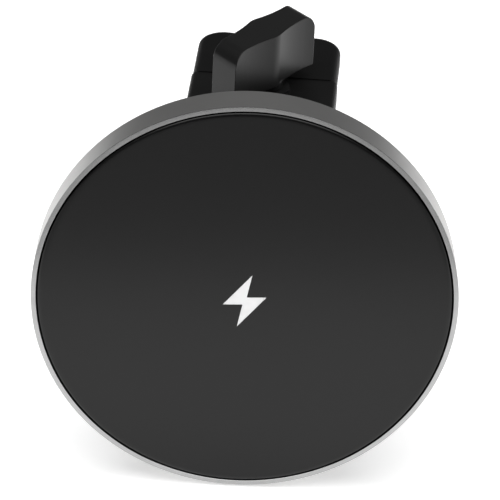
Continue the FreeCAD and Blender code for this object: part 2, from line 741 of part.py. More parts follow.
# Round stud seat in the block's front wall, with the screw's well behind it.
extrude(clip, "Pocket", "stud_seat", "XZ_Plane", f"-({front_y}) - stud_seat_depth", "4",
        lambda s: circle(s, "0", "-ball_drop", "peg_radius"))
extrude(clip, "Pocket", "stud_screw_way", "XZ_Plane", f"-({block_back_y}) - 1", "8",
        lambda s: circle(s, "0", "-ball_drop", "stud_screw_radius + 0.1"))
extrude(clip, "Pocket", "stud_screw_well", "XZ_Plane", f"-({block_back_y}) - 1", "1 + screw_well_depth",
        lambda s: circle(s, "0", "-ball_drop", "stud_screw_radius + 1.7"))
end_screw_y = f"{front_y} + end_screw_setback"


def end_screw_circles(sketch, radius):
    for side_sign in ("", "-"):
        circle(sketch, f"{side_sign}end_screw_spread", end_screw_y, radius)


extrude(clip, "Pocket", "end_screw_holes", "XY_Plane", "-block_bottom - 1", "5",
        lambda s: end_screw_circles(s, "0.8"))
keep("clip_body", clip)

plate_low = "-block_bottom - end_plate_thickness"
end_plate = new_body("end_plate")
extrude(end_plate, "Pad", "plate", "XY_Plane", plate_low, "end_plate_thickness",
        lambda s: rectangle(s, f"-({plastic_half})", plastic_half, front_y, block_back_y))
dress(end_plate, "Fillet", "plate_corners", "block_corner",
      lambda e: upright(e) and e.BoundBox.YMax < size(front_y) + 0.1)
dress(end_plate, "Chamfer", "plate_bevel", "outer_bevel", lambda e: level_with(e, plate_low))
extrude(end_plate, "Pocket", "plate_holes", "XY_Plane", f"{plate_low} - 1", "4",
        lambda s: end_screw_circles(s, "0.9"))
keep("end_plate", end_plate)

end_screws = []
for x in (size("end_screw_spread"), -size("end_screw_spread")):
    screw = pan_screw(0.8, 4.6, 1.6, 0.8)
    screw.rotate(Vector(0, 0, 0), Vector(1, 0, 0), 180)
    screw.translate(Vector(x, size(end_screw_y), size(plate_low)))
    end_screws.append(screw)
keep("end_plate_screws", group("end_plate_screws", end_screws))

bush_top = f"{jaw_top} + 0.3"
bush = turned("screw_bush", [
    ("screw_radius + screw_play", "mouth_gap / 2 + 0.2"),
    ("bush_radius", "mouth_gap / 2 + 0.2"),
    ("bush_radius", bush_top),
    ("bush_flange_radius", bush_top),
    ("bush_flange_radius", f"{bush_top} + bush_flange_thickness"),
    ("screw_radius + screw_play", f"{bush_top} + bush_flange_thickness"),
])
screw_place = Placement(Vector(0, -size("screw_setback"), 0), Rotation())
keep("screw_bush", bush, screw_place)

sleeve("upper_grip_sleeve", "mouth_gap / 2", "mouth_gap / 2 - 0.4")

# ---- clamp: moving lower jaw -----------------------------------------------------------------------------
jaw_low = "-mouth_gap / 2 - jaw_thickness"
lower = new_body("lower_jaw")
lower_front_y = f"{block_back_y} + rail_play"
extrude(lower, "Pad", "lower_plate", "XY_Plane", f"{jaw_low} + plastic_inset",
        "jaw_thickness - 2 * plastic_inset",
        lambda s: rectangle(s, f"-({plastic_half})", plastic_half, lower_front_y, sleeve_front_y))
dress(lower, "Fillet", "bottom_round", "top_round",
      lambda e: level_with(e, f"{jaw_low} + plastic_inset") and e.BoundBox.YMin < size(sleeve_front_y) - 0.1)
jaw_core(lower, "lower_jaw_core", f"{jaw_low} + sleeve_wall")
extrude(lower, "Pad", "nut_boss", "XY_Plane", "-nut_boss_reach", f"nut_boss_reach + {jaw_low} + 1",
        lambda s: circle(s, "0", screw_y, "nut_boss_radius"))
for side in (-1, 1):
    low_x, high_x = ("rail_offset", "rail_offset + rail_width")
    if side < 0:
        low_x, high_x = f"-({high_x})", f"-{low_x}"
    extrude(lower, "Pad", "rail_right" if side > 0 else "rail_left", "XY_Plane", "-rail_reach",
            "rail_reach - mouth_gap / 2 - plastic_inset - 0.2",
            lambda s: rectangle(s, low_x, high_x, f"{block_back_y} - rail_depth", f"{lower_front_y} + 2"))
extrude(lower, "Pocket", "nut_bore", "XY_Plane", "-nut_reach", "nut_reach",
        lambda s: circle(s, "0", screw_y, "nut_radius"))
extrude(lower, "Pocket", "screw_way", "XY_Plane", "-nut_boss_reach - 1", "6",
        lambda s: circle(s, "0", screw_y, "screw_radius + 0.4"))
keep("lower_jaw", lower)

nut = tube("jaw_nut", "nut_radius", "screw_radius + screw_play", "-nut_reach", "-mouth_gap / 2 - plastic_inset")
keep("jaw_nut", nut, screw_place)
sleeve("lower_grip_sleeve", jaw_low, "-mouth_gap / 2 - 0.3")

# ---- clamp: screw, clip and knob -------------------------------------------------------------------------
knob_low = f"{jaw_top} + knob_lift"
root_low = f"{knob_low} + 0.6"
root_top = f"{root_low} + root_depth"
clip_groove_top = "clip_groove + clip_thickness"
clamp_screw = turned("clamp_screw", [
    ("0", "-screw_reach"),
    ("screw_radius - screw_point", "-screw_reach"),
    ("screw_radius", "-screw_reach + screw_point"),
    ("screw_radius", "clip_groove"),
    ("screw_radius - screw_point", "clip_groove"),
    ("screw_radius - screw_point", clip_groove_top),
    ("screw_radius", clip_groove_top),
    ("screw_radius", root_low),
    ("screw_radius + root_swell", root_low),
    ("screw_radius + root_swell", root_top),
    ("0", root_top),
])
keep("clamp_screw", clamp_screw, screw_place)

clip_ring = tube("screw_clip", "clip_radius", "screw_radius - screw_point", "clip_groove", clip_groove_top)
extrude(clip_ring, "Pocket", "clip_mouth", "XY_Plane", "clip_groove - 0.5", "clip_thickness + 1",
        lambda s: rectangle(s, "-1.2", "1.2", "0", "clip_radius + 1"))
keep("screw_clip", clip_ring, screw_place)


shoulder_start = 10


def knob_plan(sketch):
    """The knob seen from above: two wings whose hollow flanks meet in a soft ridge, all of it leaning."""
    ridge, flank = size("knob_ridge_radius"), size("knob_flank_radius")
    reach, neck, skew = size("knob_half_length"), size("knob_neck"), size("knob_skew")
    lean = math.radians(RIDGE_DEGREES)
    ridge_x = ridge * math.sin(lean)
    neck_x = ridge_x + flank * math.sin(lean)
    ridge_y = neck + flank * (1 - math.cos(lean))
    tip_y = neck + flank - math.sqrt(flank**2 - (reach - neck_x) ** 2)

    def leaning(x, y):
        return Vector(x + skew * y, y, 0)

    for sy in (-1, 1):
        crest = leaning(0, sy * (ridge_y + ridge * (1 - math.cos(lean))))
        ends = [leaning(-ridge_x, sy * ridge_y), leaning(ridge_x, sy * ridge_y)]
        sketch.addGeometry(Part.Arc(ends[0], crest, ends[1]), False)
        for sx, start in zip((-1, 1), ends):
            sketch.addGeometry(Part.Arc(
                start, leaning(sx * neck_x, sy * neck), leaning(sx * reach, sy * tip_y)), False)
    for sx in (-1, 1):
        sketch.addGeometry(Part.LineSegment(
            leaning(sx * reach, -tip_y), leaning(sx * reach, tip_y)), False)


def knob_shoulders(sketch):
    """What the rounding takes off the top corner of each wing, seen from the side at shoulder_start."""
    reach, radius = size("knob_half_length"), size("knob_tip_radius")
    top = size(f"{knob_low} + knob_height")
    shift = Vector(size("knob_skew") * shoulder_start, 0, 0)
    for side in (-1, 1):
        inner, outer = Vector(side * (reach - radius), top, 0), Vector(side * reach, top - radius, 0)
        spot = radius * (1 - math.sqrt(0.5))
        on_arc = Vector(side * (reach - spot), top - spot, 0)
        sketch.addGeometry(Part.Arc(inner + shift, on_arc + shift, outer + shift), False)
        rim = [outer, outer + Vector(side, 0, 0), Vector(side * (reach + 1), top + 1, 0),
               inner + Vector(0, 1, 0), inner]
        for start, end in zip(rim, rim[1:]):
            sketch.addGeometry(Part.LineSegment(start + shift, end + shift), False)


knob = new_body("clamp_knob")
extrude(knob, "Pad", "wings", "XY_Plane", knob_low, "knob_height", knob_plan)
shoulders = extrude(knob, "Pocket", "wing_shoulders", "XZ_Plane", f"-{shoulder_start}",
                    f"2 * {shoulder_start}", knob_shoulders)
shoulders.UseCustomVector = True
shoulders.Direction = Vector(size("knob_skew"), 1, 0)
doc.recompute()
dress(knob, "Fillet", "wing_edges", "knob_edge",
      lambda e: e.BoundBox.ZMax > size(knob_low) + 0.01 and e.BoundBox.YLength < 3.0
      and (e.BoundBox.YMin > 1.0 or e.BoundBox.YMax < -1.0))
hub_low = f"{bush_top} + bush_flange_thickness + 0.05"
extrude(knob, "Pad", "hub", "XY_Plane", hub_low, f"{root_low} - ({hub_low})",
        lambda s: circle(s, "0", "0", "hub_radius"))
extrude(knob, "Pocket", "screw_socket", "XY_Plane", f"{hub_low} - 1", f"{root_low} - ({hub_low}) + 1",
        lambda s: circle(s, "0", "0", "screw_radius + socket_play"))
extrude(knob, "Pocket", "root_socket", "XY_Plane", root_low, "root_depth + socket_play",
        lambda s: circle(s, "0", "0", "screw_radius + root_swell + socket_play"))
keep("clamp_knob", knob, Placement(screw_place.Base, Rotation(Vector(0, 0, 1), KNOB_TURN_DEGREES)))

# ---- check and write -------------------------------------------------------------------------------------
doc.recompute()
for item in doc.Objects:
    if {"Invalid", "Error"} & set(item.State):
        raise RuntimeError(f"{item.Label} failed: {item.State}")
for label, item in nodes.items():
    if item.Shape.isNull() or not item.Shape.isValid() or not item.Shape.Solids:
        raise RuntimeError(f"{label} has no sound shape")
for label, item in nodes.items():
    item.Shape.exportStep(f"parts/{label}.step")
    print(f"{label}: {len(item.Shape.Solids)} solid(s), {item.Shape.Volume:.1f} mm3")
print(f"{len(nodes)} nodes")
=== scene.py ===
# %% [markdown]
# A phone mount for a car's air vent: a round charging head with a dark glass front and a metal rim, a ball
# joint behind it, and a screw clamp with a T-shaped knob. The design already exists as solids in their real
# places, so this lesson only gives them their looks. It starts by loading them as a fixed frame.

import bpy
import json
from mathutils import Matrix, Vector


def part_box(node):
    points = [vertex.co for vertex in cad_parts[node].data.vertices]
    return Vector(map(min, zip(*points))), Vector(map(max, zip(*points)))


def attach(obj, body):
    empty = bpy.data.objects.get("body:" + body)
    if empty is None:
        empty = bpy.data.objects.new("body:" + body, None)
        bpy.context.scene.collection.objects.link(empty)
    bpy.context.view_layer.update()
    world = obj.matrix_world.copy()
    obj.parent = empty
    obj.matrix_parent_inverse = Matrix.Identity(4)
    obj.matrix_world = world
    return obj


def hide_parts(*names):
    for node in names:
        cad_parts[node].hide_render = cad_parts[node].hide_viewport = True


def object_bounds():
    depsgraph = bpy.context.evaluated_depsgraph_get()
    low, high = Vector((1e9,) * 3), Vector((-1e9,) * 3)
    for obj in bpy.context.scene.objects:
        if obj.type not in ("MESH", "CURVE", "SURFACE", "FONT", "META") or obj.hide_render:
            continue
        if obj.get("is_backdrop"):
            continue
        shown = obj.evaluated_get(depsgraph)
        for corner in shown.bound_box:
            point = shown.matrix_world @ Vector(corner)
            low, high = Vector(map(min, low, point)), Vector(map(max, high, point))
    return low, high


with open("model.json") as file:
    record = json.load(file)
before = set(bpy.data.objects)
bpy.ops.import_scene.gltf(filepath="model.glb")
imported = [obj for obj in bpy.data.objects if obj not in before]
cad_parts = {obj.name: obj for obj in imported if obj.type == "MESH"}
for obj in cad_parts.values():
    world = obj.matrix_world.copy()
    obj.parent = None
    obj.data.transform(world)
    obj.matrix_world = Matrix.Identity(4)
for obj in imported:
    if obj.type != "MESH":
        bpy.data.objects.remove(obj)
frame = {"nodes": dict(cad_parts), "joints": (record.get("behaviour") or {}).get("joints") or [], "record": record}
cad_low, cad_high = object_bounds()
print("CAD box, mm:", [round((b - a) * 1000, 1) for a, b in zip(cad_low, cad_high)])

# %% [markdown]
# Everything below is drawn in millimetres and turned into Blender's metres by MM. The head leans a little
# on its ball, so its pieces are drawn upright about the ball's centre and carried there by one matrix. The
# record says where the ball is and which way the glass and the charging port look, and that is enough to
# build it.

# %% Find the ball and the head's own axes
import json
import math

import bmesh
import bpy
from mathutils import Matrix, Vector

MM = 0.001
joints = {joint["name"]: joint for joint in frame["joints"]}
mounts = {mount["name"]: mount for mount in frame["record"]["mounts"]}
ball_centre = Vector(joints["head_pan"]["pos_m"])
glass_way = Vector(mounts["phone_face"]["axis"]).normalized()
head_up = -Vector(mounts["usb_port"]["axis"]).normalized()
head_right = head_up.cross(glass_way).normalized()


def axes_at(origin, right, up, out):
    """The matrix that carries a piece drawn about the world's origin to a place and a turn."""
    return Matrix.Translation(origin) @ Matrix((right, up, out)).transposed().to_4x4()


head_place = axes_at(ball_centre, head_right, head_up, glass_way)
stud_place = axes_at(ball_centre, Vector((1, 0, 0)), Vector((0, 0, 1)), Vector((0, -1, 0)))
screw_axis = Vector(joints["knob_turn"]["pos_m"])
screw_place = Matrix.Translation((screw_axis.x, screw_axis.y, 0))
print("ball centre, mm:", [round(v * 1000, 2) for v in ball_centre])

# %% [markdown]
# Modelling by hand means the same few moves again and again: pick a piece, go into edit mode, select some
# faces or edges, and shape them. Operators act on whatever is selected, so each helper begins by letting go
# of everything. Faces, edges and points are picked by where they lie, never by their number, because
# numbers change as soon as a mesh is cut.

# %% Moves that every piece needs
WELD, CLOSE = 0.0005 * MM, 0.01


def let_go():
    """Leaves nothing selected."""
    if bpy.context.object and bpy.context.object.mode != "OBJECT":
        bpy.ops.object.mode_set(mode="OBJECT")
    bpy.ops.object.select_all(action="DESELECT")


def hold(piece):
    """Makes this the one selected, active piece."""
    let_go()
    piece.select_set(True)
    bpy.context.view_layer.objects.active = piece


def spot(item):
    """Where a point, edge or face lies, in millimetres."""
    points = [item.co] if isinstance(item, bmesh.types.BMVert) else [v.co for v in item.verts]
    return sum(points, Vector()) / len(points) / MM


def pick(piece, kind, wanted):
    """In edit mode, selects the points, edges or faces that the test likes, and nothing else."""
    bpy.ops.mesh.select_all(action="DESELECT")
    bpy.ops.mesh.select_mode(type=kind)
    mesh = bmesh.from_edit_mesh(piece.data)
    items = {"VERT": mesh.verts, "EDGE": mesh.edges, "FACE": mesh.faces}[kind]
    chosen = [item for item in items if wanted(item)]
    for item in chosen:
        item.select_set(True)
    mesh.select_flush_mode()
    bmesh.update_edit_mesh(piece.data)
    return len(chosen)


def slide(x=0.0, y=0.0, z=0.0):
    """Moves what is selected, in millimetres."""
    bpy.ops.transform.translate(value=Vector((x, y, z)) * MM)


def stretch(x=1.0, y=1.0, z=1.0, about=(0, 0, 0)):
    """Scales what is selected about a point given in millimetres."""
    bpy.ops.transform.resize(value=(x, y, z), center_override=Vector(about) * MM)


def extrude_to(x=0.0, y=0.0, z=0.0):
    """Draws the selected faces, edges or point out by a step in millimetres."""
    bpy.ops.mesh.extrude_region_move(TRANSFORM_OT_translate={"value": Vector((x, y, z)) * MM})


def slice_at(axis, places):
    """Cuts the whole mesh across at these places along an axis, in millimetres."""
    for place in places:
        bpy.ops.mesh.select_all(action="SELECT")
        normal = [float(i == "XYZ".index(axis)) for i in range(3)]
        bpy.ops.mesh.bisect(plane_co=Vector(normal) * place * MM, plane_no=normal)


def tidy_mesh():
    """Welds doubled points and turns every face outwards."""
    bpy.ops.mesh.select_all(action="SELECT")
    bpy.ops.mesh.remove_doubles(threshold=WELD)
    bpy.ops.mesh.normals_make_consistent(inside=False)


def block(name, low, high):
    """A box between two corners, with its size in the mesh and not in the object's scale."""
    let_go()
    low, high = Vector(low) * MM, Vector(high) * MM
    bpy.ops.mesh.primitive_cube_add(size=1, location=(low + high) / 2, scale=high - low)
    piece = bpy.context.object
    piece.name = name
    bpy.ops.object.transform_apply(location=True, rotation=True, scale=True)
    return piece


def peg(radius, low, high, x=0.0, y=0.0, along="Z", steps=64):
    """A round bar for boring or adding: low and high are its ends along Z, or along Y for a level one."""
    let_go()
    middle, length = (low + high) / 2, high - low
    centre = (x, y, middle) if along == "Z" else (x, middle, y)
    turn_by = (0, 0, 0) if along == "Z" else (math.pi / 2, 0, 0)
    bpy.ops.mesh.primitive_cylinder_add(
        vertices=steps, radius=radius * MM, depth=length * MM,
        location=Vector(centre) * MM, rotation=turn_by)
    bpy.ops.object.transform_apply(location=True, rotation=True, scale=True)
    return bpy.context.object


def use(piece, kind, **settings):
    """Adds a modifier, sets it up and applies it."""
    hold(piece)
    modifier = piece.modifiers.new(kind.title(), kind)
    for key, value in settings.items():
        setattr(modifier, key, value)
    bpy.ops.object.modifier_apply(modifier=modifier.name)


def carve(piece, *tools, how="DIFFERENCE"):
    """Cuts the tools out of a piece, or welds them on with how="UNION", and clears them away."""
    for tool in tools:
        use(piece, "BOOLEAN", object=tool, operation=how, solver="EXACT")
        bpy.data.objects.remove(tool)
    hold(piece)
    bpy.ops.object.mode_set(mode="EDIT")
    bpy.ops.mesh.select_all(action="SELECT")
    bpy.ops.mesh.remove_doubles(threshold=WELD)
    bpy.ops.object.mode_set(mode="OBJECT")


def soften(piece, width, segments=3, degrees=35):
    """Rounds every edge that turns by more than so many degrees, as no real edge is perfectly sharp."""
    use(piece, "BEVEL", width=width * MM, segments=segments, limit_method="ANGLE",
        angle_limit=math.radians(degrees), use_clamp_overlap=True, miter_outer="MITER_ARC")


def shade(piece, degrees=32):
    """Smooth shading over gentle bends, crisp over sharp ones, with flat faces kept flat."""
    hold(piece)
    bpy.ops.object.shade_smooth_by_angle(angle=math.radians(degrees), keep_sharp_edges=True)
    use(piece, "WEIGHTED_NORMAL", keep_sharp=True, weight=60)


def carry(piece, matrix):
    """Takes a piece to its place and writes the place into its mesh."""
    hold(piece)
    piece.matrix_world = matrix
    bpy.ops.object.transform_apply(location=True, rotation=True, scale=True)

# %% [markdown]
# Half of these pieces are turned on a lathe: rim, glass, cover, collar, stud. On the bench the cutter
# follows a section while the work spins. In Blender the section is drawn point by point beside the axis, by
# extruding one point, and the Spin operator sweeps it round. Sections may hold arcs, and those are worked
# out first.

# %% A lathe
def arc(x, z, radius, start, end, steps):
    """Points on an arc about x, z from one angle to another, in degrees, both ends included."""
    angles = [math.radians(start + (end - start) * i / steps) for i in range(steps + 1)]
    return [(x + radius * math.cos(a), z + radius * math.sin(a)) for a in angles]


def turn(name, section, steps=192, closed=True):
    """Turns a section of (radius, height) points about Z. An open one starts and ends on the axis."""
    let_go()
    bpy.ops.mesh.primitive_plane_add(size=2 * MM)
    piece = bpy.context.object
    piece.name = name
    bpy.ops.object.mode_set(mode="EDIT")
    bpy.ops.mesh.select_mode(type="VERT")
    bpy.ops.mesh.select_all(action="SELECT")
    bpy.ops.mesh.merge(type="CENTER")
    slide(section[0][0], 0, section[0][1])
    path = section + section[:1] if closed else section
    for (x0, z0), (x1, z1) in zip(path, path[1:]):
        extrude_to(x1 - x0, 0, z1 - z0)
    bpy.ops.mesh.select_all(action="SELECT")
    bpy.ops.mesh.remove_doubles(threshold=WELD)
    bpy.ops.mesh.select_all(action="SELECT")
    bpy.ops.mesh.spin(steps=steps, angle=math.tau, center=(0, 0, 0), axis=(0, 0, 1))
    tidy_mesh()
    bpy.ops.object.mode_set(mode="OBJECT")
    return piece

# %% [markdown]
# A finish is a small graph of nodes. Most of these surfaces share one recipe: two noises in the piece's own
# coordinates, a coarse one that lets the tone drift and a fine one that roughens the skin and the gloss.
# The numbers that stay the same all over go straight onto the shader's sockets.

# %% A finish with a drifting tone and a fine grain
def node(tree, kind, **inputs):
    """Adds a shader node and fills its sockets: a link for a socket, a number or colour otherwise."""
    made = tree.nodes.new(kind)
    for name, value in inputs.items():
        socket = made.inputs[name.replace("_", " ")]
        if isinstance(value, bpy.types.NodeSocket):
            tree.links.new(value, socket)
        else:
            socket.default_value = value
    return made


def ramp(tree, factor, *stops):
    """A colour ramp through (place, colour) stops."""
    made = node(tree, "ShaderNodeValToRGB", Fac=factor)
    bar = made.color_ramp.elements
    bar[0].position, bar[0].color = stops[0][0], (*stops[0][1], 1)
    bar[1].position, bar[1].color = stops[-1][0], (*stops[-1][1], 1)
    for place, colour in stops[1:-1]:
        bar.new(place).color = (*colour, 1)
    return made.outputs["Color"]


def spread(tree, factor, low, high):
    """Maps 0-1 onto a range of numbers."""
    made = node(tree, "ShaderNodeMapRange", Value=factor)
    made.inputs["To Min"].default_value, made.inputs["To Max"].default_value = low, high
    return made.outputs["Result"]


def grey(value, tint=(1.0, 1.0, 1.0)):
    """A grey of this brightness, warmed or cooled by a tint."""
    return tuple(value * t for t in tint)


def finish(name, dark, light, drift_mm=6.0, grain_mm=0.12, rough=(0.4, 0.5), height_mm=0.004, **fixed):
    """A finish whose tone drifts between two colours and whose grain has a real width and height."""
    made = bpy.data.materials.new(name)
    made.use_nodes = True
    tree = made.node_tree
    shader = tree.nodes["Principled BSDF"]
    place = node(tree, "ShaderNodeTexCoord").outputs["Object"]
    drift = node(tree, "ShaderNodeTexNoise", Vector=place, Scale=1000 / drift_mm, Detail=3.0)
    grain = node(tree, "ShaderNodeTexNoise", Vector=place, Scale=1000 / grain_mm, Detail=2.0)
    tree.links.new(ramp(tree, drift.outputs["Fac"], (0.3, dark), (0.7, light)), shader.inputs["Base Color"])
    tree.links.new(spread(tree, grain.outputs["Fac"], *rough), shader.inputs["Roughness"])
    bump = node(tree, "ShaderNodeBump", Height=grain.outputs["Fac"], Distance=height_mm * MM)
    bump.inputs["Strength"].default_value = 1.0
    tree.links.new(bump.outputs["Normal"], shader.inputs["Normal"])
    for key, value in fixed.items():
        shader.inputs[key.replace("_", " ")].default_value = value
    return made


def wear(piece, material, body, slot, *nodes):
    """Gives a new piece its finish and its body, and hides the CAD nodes it stands for. The slot is not used."""
    piece.data.materials.clear()
    piece.data.materials.append(material)
    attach(piece, body)
    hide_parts(*nodes)
    print(f"{piece.name}: {len(piece.data.polygons)} faces")

# %% [markdown]
# The rim is a turned aluminium ring, bead blasted and anodised in a warm grey. Blasting leaves tiny dents,
# so the metal shines softly. The narrow land on its front is turned once more after blasting and is
# smoother. The step that holds the glass is painted near-black, as painted shade, so that the gap round
# the glass shows as a fine dark shadow line. Three finishes on one piece do that: the faces of the land
# get the second and those of the step, with the painted shade, the third.

# %% Metal finishes
blasted = finish("blasted_aluminium", grey(0.50, (1, 0.99, 0.98)), grey(0.54, (1, 0.995, 0.985)),
                 drift_mm=9, grain_mm=0.09, rough=(0.32, 0.40), height_mm=0.0014, Metallic=1.0)
turned_land = finish("turned_aluminium", grey(0.40), grey(0.44), drift_mm=2, grain_mm=0.05,
                     rough=(0.20, 0.28), height_mm=0.0004, Metallic=1.0)
# Near-black painted shade that lines the step round the glass, so the gap there reads as a dark shadow line.
gap_shade = finish("painted_gap_shade", grey(0.002), grey(0.004), drift_mm=1, grain_mm=0.2, rough=(0.6, 0.8),
                 height_mm=0.004, Specular_IOR_Level=0.1)

# %% Turn the rim and mill its port
rim_section = [
    (28.4, 11.4), (29.78, 11.4), (29.84, 11.46), (30.0, 16.93), (29.985, 16.98), (29.93, 17.0), (29.33, 17.0),
    (29.3, 16.97), (29.3, 16.0), (28.4, 16.0)]
rim = turn("rim", rim_section, steps=256)
port = block("port_cutter", (-4.72, -32, 12.15), (4.72, -26, 15.65))
hold(port)
bpy.ops.object.mode_set(mode="EDIT")
pick(port, "EDGE", lambda e: abs(e.verts[0].co.y - e.verts[1].co.y) > 5 * MM)
bpy.ops.mesh.bevel(offset=1.745 * MM, offset_type="OFFSET", segments=12, affect="EDGES")
let_go()
carve(rim, port)
wear(rim, blasted, "head", "bezel_metal", "bezel_ring")
rim.data.materials.append(turned_land)
rim.data.materials.append(gap_shade)
for face in rim.data.polygons:
    middle = face.center / MM
    if middle.z > 16.9 and face.normal.z > 0.2:
        face.material_index = 1
    # The faces of the step round the glass get the near-black painted shade.
    elif middle.z > 15.9 and middle.xy.length < 29.5:
        face.material_index = 2
shade(rim)
carry(rim, head_place)

# %% [markdown]
# The front is one pane of glass, printed black on its back. Printed glass looks like deep grey with a soft
# sheen, because the ink shows through a polished top. The edge falls away in an elliptical bevel, which
# catches the lamps as fine lines, so the section follows it with ten short steps.

# %% Glass, ink and mark finishes
glass_finish = finish("ink_behind_glass", grey(0.0012), grey(0.0017), drift_mm=14, grain_mm=0.25,
                      rough=(0.24, 0.28), height_mm=0.0003, Specular_IOR_Level=0.36)
ink_white = finish("white_ink", grey(0.88), grey(0.92), drift_mm=2, grain_mm=0.06, rough=(0.5, 0.62),
                   height_mm=0.002)

# %% Turn the glass
bevel = [(28.3 + 0.8 * math.sin(t), 16.85 + 0.35 * math.cos(t))
         for t in [math.pi / 2 * i / 10 for i in range(10, -1, -1)]]
glass = turn("glass", [(0, 16.2), (29.05, 16.2), (29.1, 16.25)] + bevel + [(14, 17.2), (0, 17.2)],
             steps=256, closed=False)

# %% [markdown]
# A small white sign in the middle says that the disc charges: a plain lightning bolt, printed in a shallow
# recess. A six-cornered bolt is a circle of six points moved into place. Its corners are rounded a little,
# as ink always rounds them. The same shape, a hair larger and taller, cuts its own recess into the glass.

# %% Print the bolt
def bolt(name, low, high, grow=0.0):
    """A lightning bolt of the mark's size between two heights above the ball."""
    let_go()
    bpy.ops.mesh.primitive_circle_add(vertices=6, radius=MM, fill_type="NGON", location=(0, 0, low * MM))
    piece = bpy.context.object
    piece.name = name
    bpy.ops.object.transform_apply(location=True, rotation=True, scale=True)
    bpy.ops.object.mode_set(mode="EDIT")
    outline = [(0.36, 1.0), (-1.0, -0.14), (-0.10, -0.14), (-0.36, -1.0), (1.0, 0.14), (0.10, 0.14)]
    mesh = bmesh.from_edit_mesh(piece.data)
    mesh.faces.ensure_lookup_table()
    for point, (x, y) in zip(mesh.faces[0].verts[:], outline):
        point.co = Vector((x * (half_mark.x + grow), y * (half_mark.y + grow), low)) * MM
    bmesh.update_edit_mesh(piece.data)
    bpy.ops.mesh.select_all(action="SELECT")
    bpy.ops.mesh.bevel(offset=0.10 * MM, segments=4, affect="VERTICES")
    bpy.ops.mesh.select_all(action="SELECT")
    extrude_to(0, 0, high - low)
    tidy_mesh()
    let_go()
    return piece


mark_points = [(v.co - ball_centre) / MM for v in frame["nodes"]["charge_mark"].data.vertices]
half_mark = Vector([max(p.dot(way) for p in mark_points) for way in (head_right, head_up)])
print("half size of the mark, mm:", round(half_mark.x, 2), round(half_mark.y, 2))
RECESS_FLOOR = 17.08
carve(glass, bolt("recess_cutter", RECESS_FLOOR, 18.0, grow=0.01))
shade(glass, 20)
wear(glass, glass_finish, "head", "front_glass", "front_glass")
carry(glass, head_place)
sign = bolt("bolt_mark", RECESS_FLOOR, 17.16)
shade(sign)
wear(sign, ink_white, "head", "white_print", "charge_mark")
carry(sign, head_place)

# %% [markdown]
# Behind the rim the head is closed by a moulded cover. It is dished, carries the socket for the ball in a
# short boss, and is held by four screws in wells. It is turned as one closed section that starts and ends
# on the axis, with the socket as an arc, and the wells are bored afterwards.

# %% Moulded plastic finishes
black_moulded = finish("textured_black_plastic", grey(0.0030), grey(0.0042), drift_mm=5, grain_mm=0.16,
                       rough=(0.42, 0.54), height_mm=0.006, Specular_IOR_Level=0.16)
satin_black = finish("satin_black_plastic", grey(0.0055), grey(0.0070), drift_mm=7, grain_mm=0.10,
                     rough=(0.28, 0.35), height_mm=0.0018, Specular_IOR_Level=0.25)
ball_black = finish("smooth_black_plastic", grey(0.006), grey(0.009), drift_mm=5, grain_mm=0.2,
                    rough=(0.26, 0.34), height_mm=0.002)
rubber = finish("black_silicone", grey(0.0025), grey(0.0035), drift_mm=3, grain_mm=0.14, rough=(0.46, 0.58),
                height_mm=0.005, Specular_IOR_Level=0.14)

# %% Turn the rear cover and bore its screw wells
cover_section = (
    [(0, 10.5), (4.6, 10.5), (4.6, 9.5), (14.0, 9.5), (24.2, 10.1), (27.1, 10.9), (27.1, 12.1), (28.3, 12.1),
     (28.3, 11.4), (29.1, 11.4), (29.1, 10.95)]
    + arc(27.9, 10.9, 1.2, 0, -75, 6)
    + [(24.4, 8.72)] + arc(15.6, 7.2, 1.3, 97, 180, 6)[:-1]
    + [(14.3, 7.4), (12.6, 7.4), (12.5, 7.3), (12.5, -0.85), (12.35, -1.0), (9.6, -1.0), (9.5, -0.9)]
    + arc(0, 0, 9.5, 0, 90, 20))
cover = turn("rear_cover_shell", cover_section, steps=224, closed=False)
WELL_CIRCLE = 25.2
for i in range(4):
    angle = math.radians(45 + 90 * i)
    x, y = WELL_CIRCLE * math.cos(angle), WELL_CIRCLE * math.sin(angle)
    carve(cover, peg(1.9, 9.8, 13.5, x, y, steps=40), how="UNION")
    carve(cover, peg(1.75, 5, 10.4, x, y, steps=40), peg(1.0, 5, 15, x, y, steps=32))
shade(cover)
wear(cover, black_moulded, "head", "black_plastic", "rear_cover")
carry(cover, head_place)

# %% [markdown]
# The collar nut squeezes the ball. Its grip has 24 flutes, like the edge of a bottle cap. Instead of
# cutting them one by one, the wall is turned with 24 points to a flute, and then the points at the same
# place in every flute are drawn in together. Each such move is a plain scale about the axis.

# %% Turn the collar and draw in its flutes
FLUTES, POINTS_TO_A_FLUTE = 24, 24
GRIP, FLUTE_AT, FLUTE_ROUND = 15.0, 15.75, 1.3
collar = turn("collar", [
    (12.55, 4.2), (12.55, -1.3), (6.0, -1.3), (8.6, -6.5), (13.4, -6.5), (14.0, -6.2), (14.45, -5.55),
    (14.9, -4.75), (15.0, -4.5), (15.0, -4.3), (15.0, 3.3), (14.85, 3.75), (14.2, 4.2)],
    steps=FLUTES * POINTS_TO_A_FLUTE)
hold(collar)
bpy.ops.object.mode_set(mode="EDIT")
for step in range(-6, 7):
    turned_by = math.radians(step * 360 / FLUTES / POINTS_TO_A_FLUTE)
    reach = FLUTE_ROUND**2 - (FLUTE_AT * math.sin(turned_by))**2
    if reach <= 0:
        continue
    floor_radius = FLUTE_AT * math.cos(turned_by) - math.sqrt(reach)
    if floor_radius >= GRIP:
        continue

    def in_this_row(point, turned_by=turned_by):
        place = point.co / MM
        angle = math.atan2(place.y, place.x) - turned_by
        off = (angle + math.pi / FLUTES) % (math.tau / FLUTES) - math.pi / FLUTES
        return place.xy.length > 14.5 and place.z > -4.4 and abs(off) < 1e-4

    pick(collar, "VERT", in_this_row)
    shrink = floor_radius / GRIP
    stretch(shrink, shrink, 1.0)
let_go()
shade(collar, 28)
wear(collar, black_moulded, "collar", "black_plastic", "collar_nut")
carry(collar, head_place)

